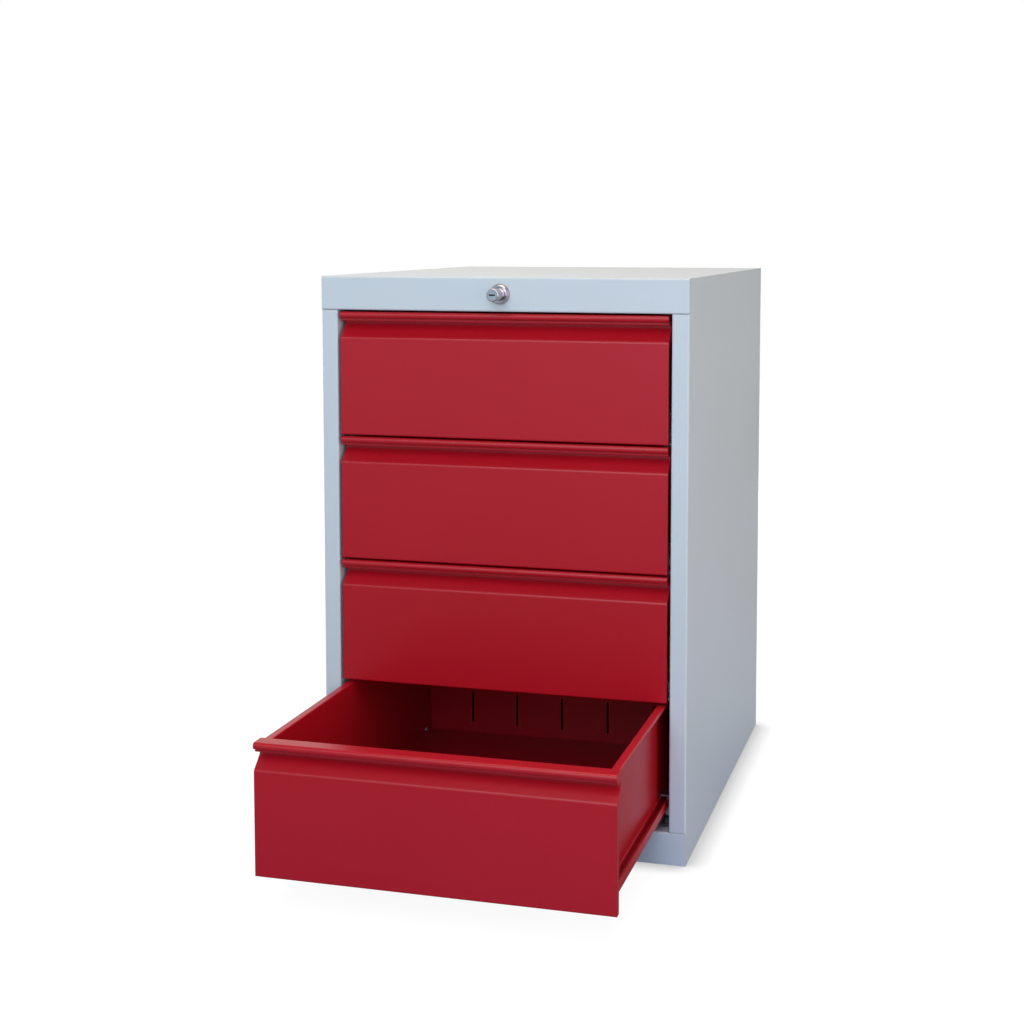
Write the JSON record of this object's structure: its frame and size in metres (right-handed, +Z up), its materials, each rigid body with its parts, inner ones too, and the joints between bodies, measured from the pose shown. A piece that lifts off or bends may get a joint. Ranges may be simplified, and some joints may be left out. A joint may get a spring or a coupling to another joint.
{
  "type": "drawer cabinet",
  "caption": "Sheet steel drawer cabinet with pull-lip drawers on roller rails, a central push lock and a slotted tray in each drawer.",
  "frame": {"origin": "on the floor, at the middle of the lower front edge of the casing", "axes": "+X to the right seen from the front, +Y to the back, +Z up; drawers open along -Y"},
  "size_m": [0.5, 0.9383, 0.762],
  "materials": {
    "casing_paint": "satin powder coat",
    "drawer_paint": "satin powder coat",
    "zinc_plate": "bright zinc plate",
    "spring_steel": "drawn wire",
    "chrome": "polished",
    "nylon": "moulded",
    "rubber": "matt"
  },
  "bodies": {
    "cabinet": {"right_side_panel": "casing_paint", "left_side_panel": "casing_paint", "top_panel": "casing_paint", "base_rail": "casing_paint", "floor_panel": "casing_paint", "back_panel": "casing_paint", "rear_uprights": "casing_paint", "right_rails": "zinc_plate", "left_rails": "zinc_plate", "front_axles": "zinc_plate", "rail_rivets": "zinc_plate", "back_rivets": "casing_paint", "rear_bumpers": "rubber", "lock_collar": "chrome", "lock_nut": "zinc_plate", "rod_guides": "zinc_plate", "crank_bracket": "zinc_plate", "bar_guides": "nylon", "bar_spring": "spring_steel", "spring_seat": "zinc_plate"},
    "drawer_1": {"drawer_1_front": "drawer_paint", "drawer_1_tray": "drawer_paint", "drawer_1_end_walls": "drawer_paint", "drawer_1_runners": "drawer_paint", "drawer_1_axles": "zinc_plate", "drawer_1_catch": "zinc_plate"},
    "drawer_1_front_rollers": {"drawer_1_front_rollers": "nylon"},
    "drawer_1_rear_rollers": {"drawer_1_rear_rollers": "nylon"},
    "drawer_2": {"drawer_2_front": "drawer_paint", "drawer_2_tray": "drawer_paint", "drawer_2_end_walls": "drawer_paint", "drawer_2_runners": "drawer_paint", "drawer_2_axles": "zinc_plate", "drawer_2_catch": "zinc_plate"},
    "drawer_2_front_rollers": {"drawer_2_front_rollers": "nylon"},
    "drawer_2_rear_rollers": {"drawer_2_rear_rollers": "nylon"},
    "drawer_3": {"drawer_3_front": "drawer_paint", "drawer_3_tray": "drawer_paint", "drawer_3_end_walls": "drawer_paint", "drawer_3_runners": "drawer_paint", "drawer_3_axles": "zinc_plate", "drawer_3_catch": "zinc_plate"},
    "drawer_3_front_rollers": {"drawer_3_front_rollers": "nylon"},
    "drawer_3_rear_rollers": {"drawer_3_rear_rollers": "nylon"},
    "drawer_4": {"drawer_4_front": "drawer_paint", "drawer_4_tray": "drawer_paint", "drawer_4_end_walls": "drawer_paint", "drawer_4_runners": "drawer_paint", "drawer_4_axles": "zinc_plate", "drawer_4_catch": "zinc_plate"},
    "drawer_4_front_rollers": {"drawer_4_front_rollers": "nylon"},
    "drawer_4_rear_rollers": {"drawer_4_rear_rollers": "nylon"},
    "lock_cylinder": {"lock_plunger": "chrome", "push_rod": "zinc_plate"},
    "key_plug": {"key_plug": "chrome"},
    "crank": {"crank": "zinc_plate"},
    "locking_bar": {"locking_bar": "zinc_plate"}
  },
  "joints": [
    {"name": "drawer_1_slide", "type": "slide", "parent": "cabinet", "child": "drawer_1", "axis": [0, -1, 0], "range_m": [0, 0.455]},
    {"name": "drawer_1_front_roller_spin", "type": "hinge", "parent": "cabinet", "child": "drawer_1_front_rollers", "pos_m": [0, 0.058, 0.5602], "axis": [1, 0, 0], "continuous": true},
    {"name": "drawer_1_rear_roller_spin", "type": "hinge", "parent": "drawer_1", "child": "drawer_1_rear_rollers", "pos_m": [0, 0.585, 0.5597], "axis": [1, 0, 0], "continuous": true},
    {"name": "drawer_2_slide", "type": "slide", "parent": "cabinet", "child": "drawer_2", "axis": [0, -1, 0], "range_m": [0, 0.455]},
    {"name": "drawer_2_front_roller_spin", "type": "hinge", "parent": "cabinet", "child": "drawer_2_front_rollers", "pos_m": [0, 0.058, 0.3922], "axis": [1, 0, 0], "continuous": true},
    {"name": "drawer_2_rear_roller_spin", "type": "hinge", "parent": "drawer_2", "child": "drawer_2_rear_rollers", "pos_m": [0, 0.585, 0.3917], "axis": [1, 0, 0], "continuous": true},
    {"name": "drawer_3_slide", "type": "slide", "parent": "cabinet", "child": "drawer_3", "axis": [0, -1, 0], "range_m": [0, 0.455]},
    {"name": "drawer_3_front_roller_spin", "type": "hinge", "parent": "cabinet", "child": "drawer_3_front_rollers", "pos_m": [0, 0.058, 0.2242], "axis": [1, 0, 0], "continuous": true},
    {"name": "drawer_3_rear_roller_spin", "type": "hinge", "parent": "drawer_3", "child": "drawer_3_rear_rollers", "pos_m": [0, 0.585, 0.2237], "axis": [1, 0, 0], "continuous": true},
    {"name": "drawer_4_slide", "type": "slide", "parent": "cabinet", "child": "drawer_4", "axis": [0, -1, 0], "range_m": [-0.285, 0.17]},
    {"name": "drawer_4_front_roller_spin", "type": "hinge", "parent": "cabinet", "child": "drawer_4_front_rollers", "pos_m": [0, 0.058, 0.0562], "axis": [1, 0, 0], "continuous": true},
    {"name": "drawer_4_rear_roller_spin", "type": "hinge", "parent": "drawer_4", "child": "drawer_4_rear_rollers", "pos_m": [0, 0.3, 0.0557], "axis": [1, 0, 0], "continuous": true},
    {"name": "lock_push", "type": "slide", "parent": "cabinet", "child": "lock_cylinder", "axis": [0, -1, 0], "range_m": [-0.01, 0], "stiffness_N_per_m": 400, "springref_m": 0.03},
    {"name": "key_turn", "type": "hinge", "parent": "lock_cylinder", "child": "key_plug", "pos_m": [0, -0.035, 0.74], "axis": [0, -1, 0], "range_deg": [0, 90]},
    {"name": "crank_turn", "type": "hinge", "parent": "cabinet", "child": "crank", "pos_m": [0.0155, 0.6125, 0.715], "axis": [1, 0, 0], "range_deg": [-21.81, 0]},
    {"name": "locking_bar_slide", "type": "slide", "parent": "cabinet", "child": "locking_bar", "axis": [0, 0, 1], "range_m": [-0.01, 0], "deforming": ["bar_spring"]}
  ],
  "couplings": [
    {"joint": "drawer_1_front_roller_spin", "follows": "drawer_1_slide", "rad_per_m": 90.909},
    {"joint": "drawer_1_rear_roller_spin", "follows": "drawer_1_slide", "rad_per_m": 90.909},
    {"joint": "drawer_2_front_roller_spin", "follows": "drawer_2_slide", "rad_per_m": 90.909},
    {"joint": "drawer_2_rear_roller_spin", "follows": "drawer_2_slide", "rad_per_m": 90.909},
    {"joint": "drawer_3_front_roller_spin", "follows": "drawer_3_slide", "rad_per_m": 90.909},
    {"joint": "drawer_3_rear_roller_spin", "follows": "drawer_3_slide", "rad_per_m": 90.909},
    {"joint": "drawer_4_front_roller_spin", "follows": "drawer_4_slide", "rad_per_m": 90.909},
    {"joint": "drawer_4_rear_roller_spin", "follows": "drawer_4_slide", "rad_per_m": 90.909},
    {"joint": "crank_turn", "follows": "lock_push", "rad_per_m": 38.05},
    {"joint": "locking_bar_slide", "follows": "lock_push", "ratio": 1}
  ]
}
